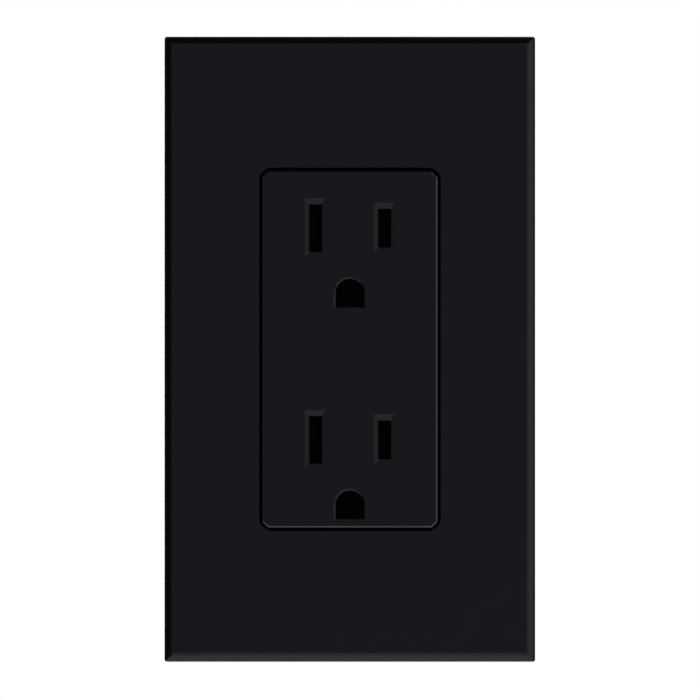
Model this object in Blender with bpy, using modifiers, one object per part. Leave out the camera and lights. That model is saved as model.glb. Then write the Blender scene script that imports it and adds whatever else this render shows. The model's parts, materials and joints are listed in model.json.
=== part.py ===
"""Duplex wall outlet behind a screwless cover plate, as separate solids.

Metres, +Z up. X runs to the right as the outlet is seen in use and Y runs into the wall, so the front
faces -Y. The origin is the middle of the cover plate on the surface of the wall.
"""

import math

import bmesh
import bpy
from mathutils import Matrix, Vector

OBJECT_NAME = "duplex_wall_outlet"
GAP = 0.0003  # between pieces that rest on each other
PAST = 0.001  # how far a cutter runs past the face that it opens

# cover plate
PLATE_WIDTH = 0.0681
PLATE_HEIGHT = 0.11485
PLATE_FRONT = -0.0066
PLATE_WALL = 0.0020
PLATE_BEVEL = 0.00095
PLATE_DRAFT = 0.0004
PLATE_CORNER = 0.0012
WINDOW_WIDTH = 0.0336
WINDOW_HEIGHT = 0.0668
WINDOW_CORNER = 0.0023
CATCH_LENGTH = 0.006
CATCH_REACH = 0.0010

# mounting frame, which the cover snaps onto
FRAME_CLEARANCE = 0.00045
FRAME_SHEET = 0.0016
FRAME_RIB = 0.0016
RIB_STEP = 0.0002  # how far the ribs stand back from the edges of the sheet
FRAME_WINDOW_STEP = 0.00035  # how far the frame shows inside the cover's window
FRAME_WINDOW_CORNER = 0.0014
BOSS_RADIUS = 0.0045

# mounting strap
STRAP_THICKNESS = 0.0012
STRAP_HALF_HEIGHT = 0.0530
STRAP_HALF_WIDTH = 0.0154
STRAP_NECK_HALF_WIDTH = 0.0085
STRAP_MIDDLE_HALF_HEIGHT = 0.0332
EAR_START = 0.0372
BOX_SCREW_Z = 0.04165
PLATE_SCREW_Z = 0.0484
GROUND_TAB_X = -0.0120
GROUND_TAB_Y = 0.0070
GROUND_TAB_Z = -0.0430

# receptacle face
FACE_WIDTH = 0.0323
FACE_HEIGHT = 0.0655
FACE_FRONT = -0.0069
FACE_WALL = 0.0022
FACE_CORNER = 0.0011
FACE_CHAMFER = 0.0004

# the two outlets
BLADE_Z = {"upper": 0.0222, "lower": -0.0166}
BLADE_X = 0.00635
SLOT_WIDTH = 0.0024
NEUTRAL_SLOT_HEIGHT = 0.0087
HOT_SLOT_HEIGHT = 0.0071
GROUND_DROP = 0.0119
GROUND_WIDTH = 0.00536
GROUND_HEIGHT = 0.00535
SLOT_LEAD_IN = {"left": 0.0008, "right": 0.0007, "bottom": 0.0006, "top": 0.00115}
GROUND_LEAD_IN = {"left": 0.0004, "right": 0.0004, "bottom": 0.0, "top": 0.0004}
LEAD_IN_DEPTH = 0.0005

# rear body
BODY_HALF_WIDTH = 0.0165
BODY_HALF_HEIGHT = 0.0348
BODY_BACK = 0.0245
BODY_CORNER = 0.0014
BODY_CHAMFER = 0.0010
POCKET_BACK = 0.0175
BLADE_POCKET_X = (0.0040, 0.0119)
BLADE_POCKET_HALF_HEIGHT = 0.0060
RECESS_X = 0.0117
RECESS_Y = (0.0035, 0.0185)
RECESS_HALF_HEIGHT = 0.0058
WIRE_HOLE_X = 0.0142
WIRE_HOLE_OFFSET = 0.0039
WIRE_HOLE_RADIUS = 0.00125
WIRE_FUNNEL_RADIUS = 0.0018
WIRE_FUNNEL_DEPTH = 0.0012

# contacts and terminals
PAD_X = (0.0120, 0.0130)
PAD_Y = (0.0050, 0.0164)
PAD_HALF_HEIGHT = 0.0052
LEAF_THICKNESS = 0.0006
LEAF_HALF_HEIGHT = 0.0036
LINK_Y = (0.0085, 0.0125)
FIN_HALF_HEIGHT = 0.0032
FIN_REACH = 0.0026
TERMINAL_Y = 0.0105
CLAMP_THICKNESS = 0.0012
CLAMP_HALF_SIZE = 0.0050
GROUND_FOOT_HALF_WIDTH = 0.0088
GROUND_FOOT_HALF_HEIGHT = 0.0036
GROUND_MOUTH = (0.0029, 0.0029)  # half sizes of the hole that the pin passes through
GROUND_RIVET_X = 0.0064

# screws: (shank radius, head radius, head height)
TERMINAL_SCREW = (0.00205, 0.0039, 0.0020)
BOX_SCREW = (0.0017, 0.0030, 0.0021)
FRAME_SCREW = (0.0017, 0.00295, 0.0015)
HOUSING_SCREW = (0.0012, 0.0023, 0.0015)
HOUSING_SCREW_AT = (0.0125, 0.0305)
SCREW_SIDES = 16

# tamper-resistant shutters
TRAY_X = (-0.0140, 0.0092)
TRAY_HALF_HEIGHT = 0.0060
TRAY_WALL = 0.0007
TRAY_FRONT = -0.0044
TRAY_BACK = -0.0016
SHUTTER_X = (-0.0088, 0.0082)
SHUTTER_HALF_HEIGHT = 0.0050
SHUTTER_THICKNESS = 0.0016
SHUTTER_TRAVEL = 0.0030
SPRING_RADIUS = 0.00065
SPRING_WIRE = 0.00025
SPRING_COILS = 5

COLOURS = {  # base colour, roughness, metallic
    "cover_black": ((0.010, 0.010, 0.013), 0.42, 0.0),
    "face_black": ((0.009, 0.009, 0.011), 0.38, 0.0),
    "frame_black": ((0.012, 0.012, 0.013), 0.55, 0.0),
    "body_black": ((0.014, 0.014, 0.015), 0.60, 0.0),
    "shutter_black": ((0.006, 0.006, 0.006), 0.60, 0.0),
    "fibre": ((0.30, 0.22, 0.14), 0.85, 0.0),
    "zinc_steel": ((0.62, 0.62, 0.60), 0.35, 1.0),
    "spring_steel": ((0.55, 0.55, 0.54), 0.30, 1.0),
    "brass": ((0.75, 0.52, 0.20), 0.30, 1.0),
    "nickel": ((0.66, 0.63, 0.57), 0.28, 1.0),
    "green_steel": ((0.03, 0.26, 0.09), 0.40, 0.6),
}

AROUND = 2 * math.pi
FRONT_TO_MINUS_Y = Matrix.Rotation(math.radians(90), 4, "X")
AXIS_TURNS = {
    "-Y": FRONT_TO_MINUS_Y,
    "+Y": Matrix.Rotation(math.radians(-90), 4, "X"),
    "+X": Matrix.Rotation(math.radians(90), 4, "Y"),
    "-X": Matrix.Rotation(math.radians(-90), 4, "Y"),
}


# ---------------------------------------------------------------- scene and materials
def clear_scene():
    for old in list(bpy.data.objects):
        bpy.data.objects.remove(old)


def new_collection(name):
    made = bpy.data.collections.new(name)
    bpy.context.scene.collection.children.link(made)
    return made


def make_material(name, colour, roughness, metallic):
    made = bpy.data.materials.new(name)
    made.use_nodes = True
    shader = made.node_tree.nodes["Principled BSDF"]
    shader.inputs["Base Color"].default_value = (*colour, 1)
    shader.inputs["Roughness"].default_value = roughness
    shader.inputs["Metallic"].default_value = metallic
    return made


clear_scene()
PARTS = new_collection(OBJECT_NAME)
CUTTERS = new_collection("cutters")
MATERIALS = {name: make_material(name, *look) for name, look in COLOURS.items()}


# ---------------------------------------------------------------- building tools
def place(name, data, material=None):
    """An object in the parts' collection, or in the cutters' if it has no material."""
    made = bpy.data.objects.new(name, data)
    if material:
        data.materials.append(MATERIALS[material])
        PARTS.objects.link(made)
    else:
        CUTTERS.objects.link(made)
        made.hide_render = True
        made.display_type = "WIRE"
    return made


def mesh_object(name, bm, material=None):
    mesh = bpy.data.meshes.new(name)
    bm.to_mesh(mesh)
    bm.free()
    return place(name, mesh, material)


def middle(span):
    return (span[0] + span[1]) / 2


def sided(side, low, high):
    """A span measured outwards from the middle, on the side +1 or -1."""
    return tuple(sorted((side * low, side * high)))


def about(centre, half):
    return (centre - half, centre + half)


def spread(bm, y, centre, half, left=0.0, right=0.0, bottom=0.0, top=0.0):
    """Moves the outline that lies in the plane y outwards on each side of its centre."""
    for vert in bm.verts:
        if abs(vert.co.y - y) > 1e-7:
            continue
        dx = vert.co.x - centre[0]
        dz = vert.co.z - centre[1]
        vert.co.x += dx * (right if dx > 0 else left) / half[0]
        vert.co.z += dz * (top if dz > 0 else bottom) / half[1]


def block(name, x, y, z, material=None, corner=0.0, steps=4, arch=False, chamfer=0.0, flare=None, rim=0):
    """A box whose long edges along Y can be rounded, all four or only the upper two (arch).

    flare widens its outline at the front (rim 0) or back (rim 1), and chamfer bevels that outline.
    """
    bm = bmesh.new()
    bmesh.ops.create_cube(bm, size=1.0)
    size = Vector((x[1] - x[0], y[1] - y[0], z[1] - z[0]))
    centre = Vector((middle(x), middle(y), middle(z)))
    grow = Matrix.Translation(centre) @ Matrix.Diagonal((*size, 1.0))
    bmesh.ops.transform(bm, matrix=grow, verts=bm.verts)
    if corner:
        along = [e for e in bm.edges if abs(e.verts[0].co.y - e.verts[1].co.y) > size.y / 2]
        if arch:
            along = [e for e in along if e.verts[0].co.z > centre.z]
        bmesh.ops.bevel(bm, geom=along, offset=corner, segments=steps, profile=0.5, affect="EDGES")
    if flare:
        spread(bm, y[rim], (centre.x, centre.z), (size.x / 2, size.z / 2), **flare)
    if chamfer:
        edge = [e for e in bm.edges if all(abs(v.co.y - y[rim]) < 1e-7 for v in e.verts)]
        bmesh.ops.bevel(bm, geom=edge, offset=chamfer, segments=1, profile=0.5, affect="EDGES")
    return mesh_object(name, bm, material)


def rod(name, direction, at, radius, span, material=None, sides=SCREW_SIDES, far_radius=None):
    """A cylinder or cone along a direction, from span[0] to span[1] measured from the point at."""
    bm = bmesh.new()
    bmesh.ops.create_cone(
        bm,
        cap_ends=True,
        segments=sides,
        radius1=radius,
        radius2=radius if far_radius is None else far_radius,
        depth=span[1] - span[0],
    )
    lift = Matrix.Translation((0, 0, middle(span)))
    bmesh.ops.transform(bm, matrix=AXIS_TURNS[direction] @ lift, verts=bm.verts)
    made = mesh_object(name, bm, material)
    made.location = at
    return made


def join(target, *tools):
    return combine(target, "UNION", tools)


def cut(target, *tools):
    return combine(target, "DIFFERENCE", tools)


def combine(target, operation, tools):
    for tool in tools:
        modifier = target.modifiers.new(tool.name, "BOOLEAN")
        modifier.operation = operation
        modifier.solver = "EXACT"
        modifier.object = tool
    return target


def filleted(corners, radius, steps=2):
    """A closed outline of (x, z) points whose corners are rounded to a radius."""
    points = []
    for i, corner in enumerate(corners):
        here = Vector(corner)
        back = (Vector(corners[i - 1]) - here).normalized()
        ahead = (Vector(corners[(i + 1) % len(corners)]) - here).normalized()
        half = back.angle(ahead) / 2
        centre = here + (back + ahead).normalized() * (radius / math.sin(half))
        reach = radius / math.tan(half)
        start = here + back * reach - centre
        end = here + ahead * reach - centre
        first = math.atan2(start.y, start.x)
        turn = (math.atan2(end.y, end.x) - first + math.pi) % AROUND - math.pi
        for step in range(steps + 1):
            angle = first + turn * step / steps
            points.append((centre.x + radius * math.cos(angle), centre.y + radius * math.sin(angle)))
    return points


def rectangle(x, z, radius, steps=2):
    return filleted([(x[0], z[0]), (x[1], z[0]), (x[1], z[1]), (x[0], z[1])], radius, steps)


def sheet(name, outlines, y, material):
    """A flat sheet between two depths: the first outline is its edge and the others are holes."""
    curve = bpy.data.curves.new(name, "CURVE")
    curve.dimensions = "2D"
    curve.fill_mode = "BOTH"
    curve.extrude = (y[1] - y[0]) / 2
    for outline in outlines:
        spline = curve.splines.new("POLY")
        spline.points.add(len(outline) - 1)
        spline.use_cyclic_u = True
        for point, (x, z) in zip(spline.points, outline):
            point.co = (x, z, 0, 1)
    drawn = bpy.data.objects.new(name + "_outline", curve)
    PARTS.objects.link(drawn)
    drawn.matrix_world = Matrix.Translation((0, middle(y), 0)) @ FRONT_TO_MINUS_Y
    bpy.context.view_layer.update()
    evaluated = drawn.evaluated_get(bpy.context.evaluated_depsgraph_get())
    mesh = bpy.data.meshes.new_from_object(evaluated)
    mesh.name = name
    bm = bmesh.new()
    bm.from_mesh(mesh)
    bmesh.ops.remove_doubles(bm, verts=bm.verts, dist=1e-6)
    bm.to_mesh(mesh)
    bm.free()
    mesh.materials.clear()
    made = place(name, mesh, material)
    made.matrix_world = drawn.matrix_world.copy()
    bpy.data.objects.remove(drawn)
    return made


def bent_strip(name, path, z, thickness, material=None):
    """Sheet metal bent along a path of (x, y) points, between two heights."""
    bm = bmesh.new()
    verts = [bm.verts.new((x, y, z[0])) for x, y in path]
    edges = [bm.edges.new(pair) for pair in zip(verts, verts[1:])]
    swept = bmesh.ops.extrude_edge_only(bm, edges=edges)["geom"]
    raised = [v for v in swept if isinstance(v, bmesh.types.BMVert)]
    bmesh.ops.translate(bm, vec=(0, 0, z[1] - z[0]), verts=raised)
    made = mesh_object(name, bm, material)
    skin = made.modifiers.new("thickness", "SOLIDIFY")
    skin.thickness = thickness
    skin.offset = 0
    skin.use_even_offset = True
    return made


def turned(name, profile, material=None, sides=SCREW_SIDES):
    """A profile of (radius, height) points, top to bottom, turned about the local Z axis."""
    bm = bmesh.new()
    verts = [bm.verts.new((radius, 0, height)) for radius, height in profile]
    for pair in zip(verts, verts[1:]):
        bm.edges.new(pair)
    made = mesh_object(name, bm, material)
    spin = made.modifiers.new("turn", "SCREW")
    spin.axis = "Z"
    spin.steps = sides
    spin.render_steps = sides
    spin.use_merge_vertices = True
    spin.merge_threshold = 1e-5
    return made


def countersunk_bore(name, at, direction, mouth_radius, depth, radius, length, sides):
    """A cutter for a bore with a conical mouth on the face that looks in a direction at the point at."""
    slope = (mouth_radius - radius) / depth
    profile = [(0, PAST), (mouth_radius + slope * PAST, PAST), (radius, -depth)]
    profile += [(radius, -length), (0, -length)]
    made = turned(name, profile, sides=sides)
    made.matrix_world = Matrix.Translation(at) @ AXIS_TURNS[direction]
    return made


def screw(name, kind, length, at, direction, material, flat_head=False, sides=SCREW_SIDES):
    """A screw whose head's underside (a flat head's top) is at the point at, the head facing direction."""
    shank, head, height = kind
    tip = shank * 0.4
    if flat_head:
        crown = [(0, 0), (head, 0), (head, -0.0002), (shank, -height)]
        slot_floor = -0.0009
        head_top = 0.0
    else:
        crown = [(0, height), (head * 0.72, height), (head, height * 0.62), (head, 0), (shank, 0)]
        slot_floor = height * 0.45
        head_top = height
    end = [(shank, tip - length), (shank - tip, -length), (0, -length)]
    made = turned(name, crown + end, material, sides)
    for turn, label in ((0, "slot"), (90, "cross")):
        reach = head * (1.3 if label == "slot" else 0.5)
        bm = bmesh.new()
        bmesh.ops.create_cube(bm, size=1.0)
        size = (2 * reach, head * 0.28, head_top - slot_floor + PAST)
        lift = Matrix.Translation((0, 0, slot_floor + size[2] / 2))
        grow = Matrix.Rotation(math.radians(turn), 4, "Z") @ lift @ Matrix.Diagonal((*size, 1.0))
        bmesh.ops.transform(bm, matrix=grow, verts=bm.verts)
        driver = mesh_object(f"{name}_{label}", bm)
        driver.parent = made
        cut(made, driver)
    made.matrix_world = Matrix.Translation(at) @ AXIS_TURNS[direction]
    return made


# ---------------------------------------------------------------- cover plate and mounting frame
def catch_places():
    """The middle of each snap catch along the plate's edges: (which axis it faces, side, position)."""
    for side in (-1, 1):
        for along in (-0.028, 0.028):
            yield "x", side, along
        for along in (-0.016, 0.016):
            yield "z", side, along


def edge_block(name, axis, side, along, reach, half_length, y):
    """A cutter beside the plate's inner edge: reach is its span outwards, half_length its run along it."""
    out = sided(side, *reach)
    run = about(along, half_length)
    return block(name, out, y, run) if axis == "x" else block(name, run, y, out)


def inner_half(axis):
    """Half the room inside the cover's walls."""
    return (PLATE_WIDTH if axis == "x" else PLATE_HEIGHT) / 2 - PLATE_WALL


def make_cover():
    half_x, half_z = PLATE_WIDTH / 2, PLATE_HEIGHT / 2
    draft = {side: -PLATE_DRAFT for side in ("left", "right", "bottom", "top")}
    cover = block(
        "cover_plate",
        (-half_x, half_x),
        (PLATE_FRONT, 0.0),
        (-half_z, half_z),
        "cover_black",
        corner=PLATE_CORNER,
        steps=3,
        flare=draft,
        chamfer=PLATE_BEVEL,
    )
    hollow = block(
        "cover_hollow",
        about(0, inner_half("x")),
        (PLATE_FRONT + PLATE_WALL, PAST),
        about(0, inner_half("z")),
    )
    window = block(
        "cover_window",
        about(0, WINDOW_WIDTH / 2),
        (PLATE_FRONT - PAST, PAST),
        about(0, WINDOW_HEIGHT / 2),
        corner=WINDOW_CORNER,
        steps=6,
    )
    cut(cover, hollow, window)
    for axis, side, along in catch_places():
        inner = inner_half(axis)
        reach = (inner - CATCH_REACH, inner + PLATE_WALL / 2)
        name = f"catch_{axis}_{side}_{along}"
        join(cover, edge_block(name, axis, side, along, reach, CATCH_LENGTH / 2, (-0.0038, -0.0005)))


def ring(name, half, width, y):
    """An upright rib along a rectangle of half sizes half, width wide outwards (inwards if negative)."""
    start = rectangle(about(0, half[0]), about(0, half[1]), WINDOW_CORNER / 2)
    end = rectangle(about(0, half[0] + width), about(0, half[1] + width), WINDOW_CORNER / 2)
    outlines = [end, start] if width > 0 else [start, end]
    return sheet(name, outlines, y, None)


def make_mounting_frame():
    half_x = inner_half("x") - FRAME_CLEARANCE
    half_z = inner_half("z") - FRAME_CLEARANCE
    back = -STRAP_THICKNESS - GAP
    rib_front = PLATE_FRONT + PLATE_WALL + GAP
    window_x = WINDOW_WIDTH / 2 - FRAME_WINDOW_STEP
    window_z = WINDOW_HEIGHT / 2 - FRAME_WINDOW_STEP
    edge = rectangle((-half_x, half_x), (-half_z, half_z), 0.0015)
    window = rectangle((-window_x, window_x), (-window_z, window_z), FRAME_WINDOW_CORNER, steps=3)
    slots = []
    for x in (-0.0245, 0.0245):
        for z in (-0.024, 0.024):
            slots.append(rectangle(about(x, 0.0035), about(z, 0.012), 0.0015))
    frame = sheet("mounting_frame", [edge, window, *slots], (back - FRAME_SHEET, back), "frame_black")
    rib_y = (rib_front, back - FRAME_SHEET / 2)
    outer_rib = ring("frame_rib", (half_x - RIB_STEP, half_z - RIB_STEP), -FRAME_RIB, rib_y)
    window_rib = ring("frame_collar", (window_x + RIB_STEP, window_z + RIB_STEP), FRAME_RIB, rib_y)
    join(frame, outer_rib, window_rib)
    for side, label in ((1, "upper"), (-1, "lower")):
        at = (0, 0, side * PLATE_SCREW_Z)
        boss = rod(f"frame_boss_{label}", "+Y", at, BOSS_RADIUS, rib_y)
        head_at = (0, 0, side * BOX_SCREW_Z)
        head_room = rod(f"frame_head_room_{label}", "+Y", head_at, BOX_SCREW[1] + GAP, (-0.01, 0.0))
        sink = countersunk_bore(
            f"frame_sink_{label}",
            (0, rib_front, side * PLATE_SCREW_Z),
            "-Y",
            FRAME_SCREW[1] + GAP,
            FRAME_SCREW[2] + GAP,
            FRAME_SCREW[0] + GAP,
            0.01,
            SCREW_SIDES,
        )
        join(frame, boss)
        cut(frame, head_room, sink)
    for axis, side, along in catch_places():
        edge_at = inner_half(axis)
        reach = (edge_at - CATCH_REACH - GAP, edge_at + PAST)
        name = f"notch_{axis}_{side}_{along}"
        cut(frame, edge_block(name, axis, side, along, reach, CATCH_LENGTH / 2 + GAP, (-0.01, 0.0)))
    for side, label in ((1, "upper"), (-1, "lower")):
        at = (0, rib_front, side * PLATE_SCREW_Z)
        screw(f"frame_screw_{label}", FRAME_SCREW, 0.0100, at, "-Y", "zinc_steel", flat_head=True)


# ---------------------------------------------------------------- strap and its screws
def housing_screw_places():
    x, z = HOUSING_SCREW_AT
    for z_side, level in ((1, "upper"), (-1, "lower")):
        for x_side, hand in ((-1, "left"), (1, "right")):
            yield f"{level}_{hand}", x_side * x, z_side * z


def ground_z(level):
    return BLADE_Z[level] - GROUND_DROP


def strap_edge():
    right_upper = [
        (STRAP_HALF_WIDTH, STRAP_MIDDLE_HALF_HEIGHT),
        (STRAP_NECK_HALF_WIDTH, STRAP_MIDDLE_HALF_HEIGHT + 0.0010),
        (STRAP_NECK_HALF_WIDTH, EAR_START),
        (STRAP_HALF_WIDTH, EAR_START + 0.0010),
        (STRAP_HALF_WIDTH, STRAP_HALF_HEIGHT),
    ]
    left_upper = [(-x, z) for x, z in reversed(right_upper)]
    upper = right_upper + left_upper
    lower = [(-x, -z) for x, z in upper]
    return filleted(upper + lower, 0.0008, steps=3)


def punch(target, name, x, z, corner):
    """A hole with rounded corners through a sheet."""
    cut(target, block(name, x, (-0.01, 0.01), z, corner=corner, steps=2))


def drill(target, name, x, z, radius, sides=12):
    """A round hole through a sheet."""
    cut(target, rod(name, "+Y", (x, 0, z), radius, (-0.01, 0.01), sides=sides))


def make_strap():
    strap = sheet("mounting_strap", [strap_edge()], (-STRAP_THICKNESS, 0.0), "zinc_steel")
    for level, z in BLADE_Z.items():
        punch(strap, f"strap_blades_{level}", about(0, 0.0090), about(z, 0.0054), 0.0010)
        drill(strap, f"strap_ground_{level}", 0, ground_z(level), 0.0039, SCREW_SIDES)
        for side in (-1, 1):
            drill(strap, f"strap_rivet_{level}_{side}", side * GROUND_RIVET_X, ground_z(level), 0.0013)
    for label, x, z in housing_screw_places():
        drill(strap, f"strap_housing_{label}", x, z, HOUSING_SCREW[0] + GAP)
    for side in (-1, 1):
        box_z = about(side * BOX_SCREW_Z, 0.0021)
        punch(strap, f"strap_box_slot_{side}", about(0, 0.0033), box_z, 0.0020)
        drill(strap, f"strap_plate_{side}", 0, side * PLATE_SCREW_Z, FRAME_SCREW[0] + GAP)
        for ear_side in (-1, 1):
            slit_x = about(ear_side * 0.0105, 0.0005)
            slit_z = about(side * 0.0493, 0.0026)
            punch(strap, f"strap_slit_{side}_{ear_side}", slit_x, slit_z, 0.0004)
    tab = block(
        "strap_ground_tab",
        about(GROUND_TAB_X, STRAP_THICKNESS / 2),
        (-STRAP_THICKNESS / 2, 0.0125),
        about(GROUND_TAB_Z, 0.0045),
    )
    shank_room = rod(
        "strap_ground_hole",
        "+X",
        (GROUND_TAB_X, GROUND_TAB_Y, GROUND_TAB_Z),
        TERMINAL_SCREW[0] + GAP,
        (-PAST * 2, PAST * 2),
    )
    join(strap, tab)
    cut(strap, shank_room)
    for side, label in ((1, "upper"), (-1, "lower")):
        at = (0, -STRAP_THICKNESS - GAP, side * BOX_SCREW_Z)
        screw(f"box_screw_{label}", BOX_SCREW, 0.0240, at, "-Y", "zinc_steel")
        disc = block(
            f"screw_retainer_{label}",
            about(0, 0.0042),
            (GAP, GAP + 0.0008),
            about(side * BOX_SCREW_Z, 0.0037),
            "fibre",
            corner=0.0012,
            steps=3,
        )
        cut(disc, rod(f"retainer_hole_{label}", "+Y", at, BOX_SCREW[0] + GAP, (-PAST, 0.004)))


# ---------------------------------------------------------------- receptacle face
def slot_cutters(name, x, z, height):
    half_x, half_z = SLOT_WIDTH / 2, height / 2
    through = block(f"{name}_slot", about(x, half_x), (FACE_FRONT - PAST, PAST), about(z, half_z))
    lead_in = block(
        f"{name}_lead_in",
        about(x, half_x),
        (FACE_FRONT, FACE_FRONT + LEAD_IN_DEPTH),
        about(z, half_z),
        flare=SLOT_LEAD_IN,
    )
    return through, lead_in


def ground_cutters(level):
    z = ground_z(level)
    x_span = about(0, GROUND_WIDTH / 2)
    z_span = (z - GROUND_HEIGHT + GROUND_WIDTH / 2, z + GROUND_WIDTH / 2)
    radius = GROUND_WIDTH / 2 * 0.985
    through = block(
        f"ground_{level}_hole",
        x_span,
        (FACE_FRONT - PAST, PAST),
        z_span,
        corner=radius,
        steps=8,
        arch=True,
    )
    lead_in = block(
        f"ground_{level}_lead_in",
        x_span,
        (FACE_FRONT, FACE_FRONT + LEAD_IN_DEPTH / 2),
        z_span,
        corner=radius,
        steps=8,
        arch=True,
        flare=GROUND_LEAD_IN,
    )
    return through, lead_in


def make_face():
    back = -STRAP_THICKNESS - GAP
    face = block(
        "receptacle_face",
        about(0, FACE_WIDTH / 2),
        (FACE_FRONT, back),
        about(0, FACE_HEIGHT / 2),
        "face_black",
        corner=FACE_CORNER,
        steps=1,
        chamfer=FACE_CHAMFER,
    )
    pocket_y = (FACE_FRONT + FACE_WALL, PAST)
    for level, z in BLADE_Z.items():
        pocket_x = (TRAY_X[0] - GAP, TRAY_X[1] + GAP)
        pocket = block(f"{level}_pocket", pocket_x, pocket_y, about(z, TRAY_HALF_HEIGHT + GAP))
        cut(face, pocket)
        cut(face, *slot_cutters(f"{level}_neutral", -BLADE_X, z, NEUTRAL_SLOT_HEIGHT))
        cut(face, *slot_cutters(f"{level}_hot", BLADE_X, z, HOT_SLOT_HEIGHT))
        cut(face, *ground_cutters(level))
    cut(face, block("middle_pocket", about(0, 0.0120), pocket_y, (-0.0085, 0.0055)))
    for label, x, z in housing_screw_places():
        room = HOUSING_SCREW[0] + GAP
        cut(face, rod(f"face_hole_{label}", "+Y", (x, 0, z), room, (-0.0048, 0.0), sides=12))


# ---------------------------------------------------------------- shutters
def make_shutters():
    slide_back = TRAY_BACK - TRAY_WALL - GAP
    for level, z in BLADE_Z.items():
        tray = block(
            f"shutter_tray_{level}",
            TRAY_X,
            (TRAY_FRONT, TRAY_BACK),
            about(z, TRAY_HALF_HEIGHT),
            "body_black",
        )
        room = block(
            f"tray_room_{level}",
            (TRAY_X[0] + TRAY_WALL, TRAY_X[1] - TRAY_WALL),
            (TRAY_FRONT - PAST, TRAY_BACK - TRAY_WALL),
            about(z, TRAY_HALF_HEIGHT - TRAY_WALL),
        )
        cut(tray, room)
        for side, hand in ((-1, "neutral"), (1, "hot")):
            x = about(side * BLADE_X, 0.0014)
            cut(tray, block(f"tray_{hand}_{level}", x, (-0.01, 0.0), about(z, 0.0048)))
        shutter = block(
            f"shutter_{level}",
            SHUTTER_X,
            (slide_back - SHUTTER_THICKNESS, slide_back),
            about(z, SHUTTER_HALF_HEIGHT),
            "shutter_black",
            corner=0.0005,
            steps=2,
        )
        window_x = about(SHUTTER_TRAVEL - BLADE_X, 0.0014)
        cut(shutter, block(f"shutter_window_{level}", window_x, (-0.01, 0.0), about(z, 0.0046)))
        make_spring(level, z, slide_back - SHUTTER_THICKNESS / 2)


def make_spring(level, z, y):
    """A compression spring between the tray's end wall and the end of the shutter."""
    start = TRAY_X[0] + TRAY_WALL + GAP + SPRING_WIRE / 2
    end = SHUTTER_X[0] - GAP - SPRING_WIRE / 2
    per_turn = 8
    count = SPRING_COILS * per_turn
    curve = bpy.data.curves.new(f"shutter_spring_{level}", "CURVE")
    curve.dimensions = "3D"
    curve.bevel_depth = SPRING_WIRE / 2
    curve.bevel_resolution = 2
    curve.use_fill_caps = True
    spline = curve.splines.new("POLY")
    spline.points.add(count)
    for i, point in enumerate(spline.points):
        angle = AROUND * i / per_turn
        x = start + (end - start) * i / count
        point.co = (x, y + SPRING_RADIUS * math.cos(angle), z + SPRING_RADIUS * math.sin(angle), 1)
    place(f"shutter_spring_{level}", curve, "spring_steel")


# ---------------------------------------------------------------- contacts
def make_bus(name, side, material):
    """The contact strip of one side: two terminal pads, two sprung contacts and the link between."""
    pad_x = middle(PAD_X)
    web_y = PAD_Y[1] - LEAF_THICKNESS
    leaf = 0.00095
    bus = None
    for level, z in BLADE_Z.items():
        plate_path = [(side * pad_x, PAD_Y[0]), (side * pad_x, web_y), (side * BLADE_X, web_y)]
        thickness = PAD_X[1] - PAD_X[0]
        plate_z = about(z, PAD_HALF_HEIGHT)
        first = bus is None
        plate_name = name if first else f"{name}_plate_{level}"
        plate = bent_strip(plate_name, plate_path, plate_z, thickness, material if first else None)
        if first:
            bus = plate
        else:
            join(bus, plate)
        leaf_path = [
            (-leaf - 0.0008, 0.0026),
            (-leaf + 0.00025, 0.0048),
            (-leaf, 0.0070),
            (-leaf, web_y - LEAF_THICKNESS),
        ]
        leaf_path += [(-x, y) for x, y in reversed(leaf_path)]
        fork_path = [(side * BLADE_X + x, y) for x, y in leaf_path]
        fork = bent_strip(f"{name}_fork_{level}", fork_path, about(z, LEAF_HALF_HEIGHT), LEAF_THICKNESS)
        join(bus, fork)
    overlap = 0.0004
    link_z = (BLADE_Z["lower"] + PAD_HALF_HEIGHT - overlap, BLADE_Z["upper"] - PAD_HALF_HEIGHT + overlap)
    link = block(f"{name}_link", sided(side, *PAD_X), LINK_Y, link_z)
    fin_x = sided(side, PAD_X[1] - overlap, PAD_X[1] + FIN_REACH)
    fin_y = (LINK_Y[0] + overlap, LINK_Y[1] - overlap)
    fin = block(f"{name}_fin", fin_x, fin_y, about(middle(link_z), FIN_HALF_HEIGHT))
    join(bus, link, fin)
    for end in (-1, 1):
        notch_z = about(middle(link_z) + end * (FIN_HALF_HEIGHT + 0.0010), 0.0006)
        notch_y = (LINK_Y[0] + 0.0008, LINK_Y[1] - 0.0008)
        notch_x = sided(side, PAD_X[0] - PAST, PAD_X[1] + PAST)
        cut(bus, block(f"{name}_notch_{end}", notch_x, notch_y, notch_z))
    for level, z in BLADE_Z.items():
        room = TERMINAL_SCREW[0] + GAP
        span = (PAD_X[0] - PAST, PAD_X[1] + PAST)
        out = "+X" if side > 0 else "-X"
        cut(bus, rod(f"{name}_hole_{level}", out, (0, TERMINAL_Y, z), room, span))


def make_clamp(name, side, face_x, at, material):
    """A pressure plate under a screw head, with two grooves that grip a wire."""
    y, z = at
    outer = face_x + CLAMP_THICKNESS
    square = (about(y, CLAMP_HALF_SIZE), about(z, CLAMP_HALF_SIZE))
    clamp = block(name, sided(side, face_x, outer), *square, material)
    room = TERMINAL_SCREW[0] + GAP
    out = "+X" if side > 0 else "-X"
    cut(clamp, rod(f"{name}_hole", out, (0, y, z), room, (face_x - PAST, outer + PAST)))
    for row in (-1, 1):
        groove_at = (side * (face_x - 0.0005), 0, z + row * WIRE_HOLE_OFFSET)
        groove = rod(f"{name}_groove_{row}", "+Y", groove_at, 0.0010, (y - 0.008, y + 0.008), sides=12)
        cut(clamp, groove)


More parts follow.
